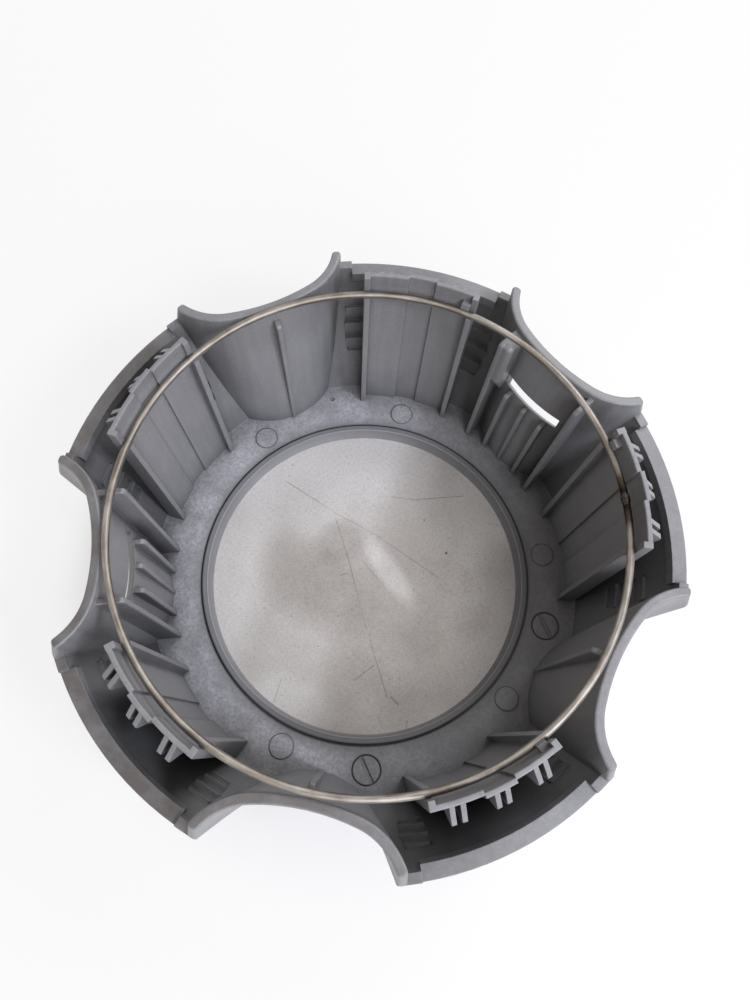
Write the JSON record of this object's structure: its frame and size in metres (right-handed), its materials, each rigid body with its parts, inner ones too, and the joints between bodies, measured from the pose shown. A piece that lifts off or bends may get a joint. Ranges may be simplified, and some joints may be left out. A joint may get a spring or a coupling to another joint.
{
  "type": "wheel centre cap",
  "caption": "Lobed wheel centre cap with an open back: scalloped walls clear the wheel nuts, clip towers carry a sprung wire ring, and a plain metal disc closes the front.",
  "frame": {"origin": "on the cap's axis, in the plane of the front bezel's rim that the cap lies on", "axes": "+Z along the cap's axis from the front to the open back; +Y away from the picture's viewer and +X to the right"},
  "size_m": [0.1398, 0.139, 0.0603],
  "materials": {
    "cap_plastic": "moulded grey thermoplastic, satin, with a fine grain",
    "ring_steel": "drawn spring wire, slightly tarnished",
    "medallion_aluminium": "mill-finish sheet, lightly scratched"
  },
  "bodies": {
    "root": {"cap_body": "cap_plastic", "retaining_ring": "ring_steel", "medallion": "medallion_aluminium"}
  },
  "joints": []
}
